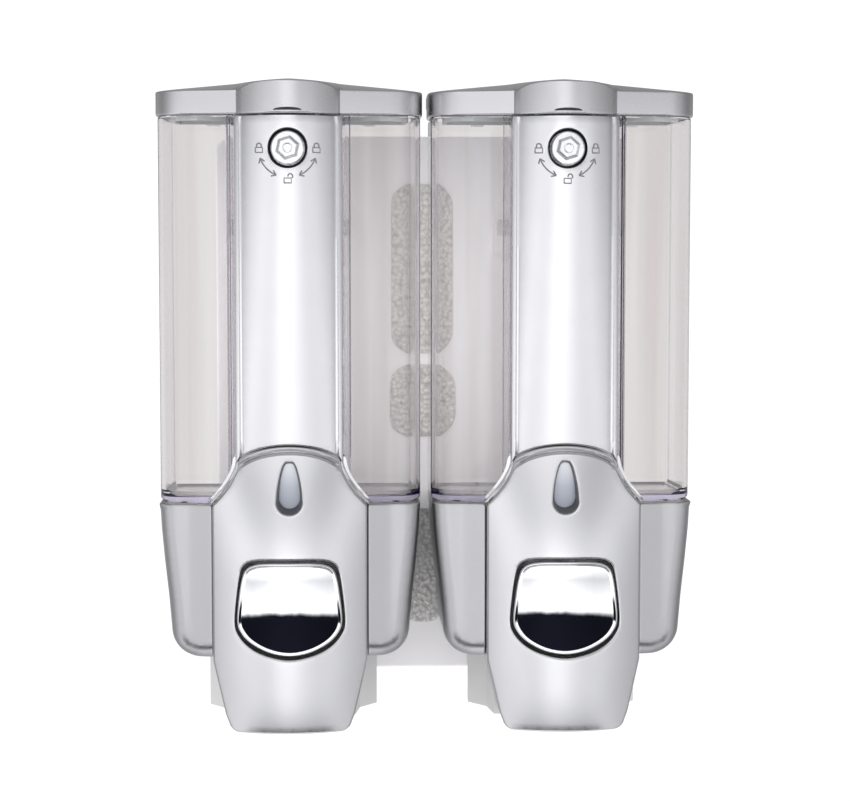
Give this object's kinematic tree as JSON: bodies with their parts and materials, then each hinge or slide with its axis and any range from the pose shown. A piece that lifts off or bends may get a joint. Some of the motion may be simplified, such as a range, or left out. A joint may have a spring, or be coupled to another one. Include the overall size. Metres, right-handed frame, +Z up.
{
  "type": "wall mounted soap dispenser",
  "caption": "Twin wall mounted soap dispenser: silver covers, clear tanks with hinged locking lids, chrome push buttons and a shared wall plate.",
  "frame": {"origin": "centre of the wall plate's back face, midway between the units and at the object's mid height", "axes": "+Y into the wall, -Y towards the user, +X to the right seen from the front, +Z up"},
  "size_m": [0.1926, 0.0642, 0.2319],
  "materials": {
    "silver": "satin silver paint over moulded plastic",
    "chrome": "bright mirror plating",
    "clear": "clear moulded plastic, faint cool tint at its edges",
    "steel": "plain zinc plated steel",
    "grey_plastic": "light grey moulded plastic, fine matte texture",
    "white_plastic": "natural white moulded plastic",
    "plate_plastic": "near white moulded plastic, satin",
    "panel": "coarse sparkling grained insert",
    "rubber": "soft translucent grey silicone",
    "level_insert": "glossy blue grey insert"
  },
  "bodies": {
    "wall_frame": {"left_tank": "clear", "left_lid_hinge_pin": "steel", "left_spine_cover": "silver", "left_pump_cover": "silver", "left_drop_window": "level_insert", "left_base_shell": "silver", "left_pump_housing": "grey_plastic", "left_tank_seal": "rubber", "left_bellows": "rubber", "left_bellows_ring": "white_plastic", "left_outlet_tube": "grey_plastic", "left_button_spring": "steel", "left_cover_screw_1": "steel", "left_cover_screw_2": "steel", "left_cleat": "plate_plastic", "right_tank": "clear", "right_lid_hinge_pin": "steel", "right_spine_cover": "silver", "right_pump_cover": "silver", "right_drop_window": "level_insert", "right_base_shell": "silver", "right_pump_housing": "grey_plastic", "right_tank_seal": "rubber", "right_bellows": "rubber", "right_bellows_ring": "white_plastic", "right_outlet_tube": "grey_plastic", "right_button_spring": "steel", "right_cover_screw_1": "steel", "right_cover_screw_2": "steel", "right_cleat": "plate_plastic", "wall_plate": "plate_plastic", "panel_upper": "panel", "panel_middle": "panel", "panel_lower": "panel", "wall_screw_1": "steel", "wall_screw_2": "steel", "wall_screw_3": "steel", "wall_screw_4": "steel"},
    "left_lid_body": {"left_lid": "silver", "left_lid_gasket": "rubber"},
    "left_lock": {"left_lock_plug": "chrome", "left_lock_cam": "steel", "left_lock_screw": "steel"},
    "left_push_button": {"left_button": "chrome", "left_plunger": "white_plastic"},
    "left_check_ball": {"left_inlet_ball": "steel"},
    "right_lid_body": {"right_lid": "silver", "right_lid_gasket": "rubber"},
    "right_lock": {"right_lock_plug": "chrome", "right_lock_cam": "steel", "right_lock_screw": "steel"},
    "right_push_button": {"right_button": "chrome", "right_plunger": "white_plastic"},
    "right_check_ball": {"right_inlet_ball": "steel"}
  },
  "joints": [
    {"name": "left_lid_hinge", "type": "hinge", "parent": "wall_frame", "child": "left_lid_body", "pos_m": [-0.04875, -0.012, 0.106], "axis": [-1, 0, 0], "range_deg": [0, 80]},
    {"name": "left_lock_turn", "type": "hinge", "parent": "wall_frame", "child": "left_lock", "pos_m": [-0.04875, -0.055, 0.09], "axis": [0, -1, 0], "range_deg": [-90, 90]},
    {"name": "left_button_press", "type": "slide", "parent": "wall_frame", "child": "left_push_button", "axis": [0, 1, 0], "range_m": [0, 0.006], "stiffness_N_per_m": 300, "deforming": ["left_bellows", "left_button_spring"]},
    {"name": "left_ball_lift", "type": "slide", "parent": "wall_frame", "child": "left_check_ball", "axis": [0, 0, 1], "range_m": [0, 0.0011]},
    {"name": "right_lid_hinge", "type": "hinge", "parent": "wall_frame", "child": "right_lid_body", "pos_m": [0.04875, -0.012, 0.106], "axis": [-1, 0, 0], "range_deg": [0, 80]},
    {"name": "right_lock_turn", "type": "hinge", "parent": "wall_frame", "child": "right_lock", "pos_m": [0.04875, -0.055, 0.09], "axis": [0, -1, 0], "range_deg": [-90, 90]},
    {"name": "right_button_press", "type": "slide", "parent": "wall_frame", "child": "right_push_button", "axis": [0, 1, 0], "range_m": [0, 0.006], "stiffness_N_per_m": 300, "deforming": ["right_bellows", "right_button_spring"]},
    {"name": "right_ball_lift", "type": "slide", "parent": "wall_frame", "child": "right_check_ball", "axis": [0, 0, 1], "range_m": [0, 0.0011]}
  ]
}
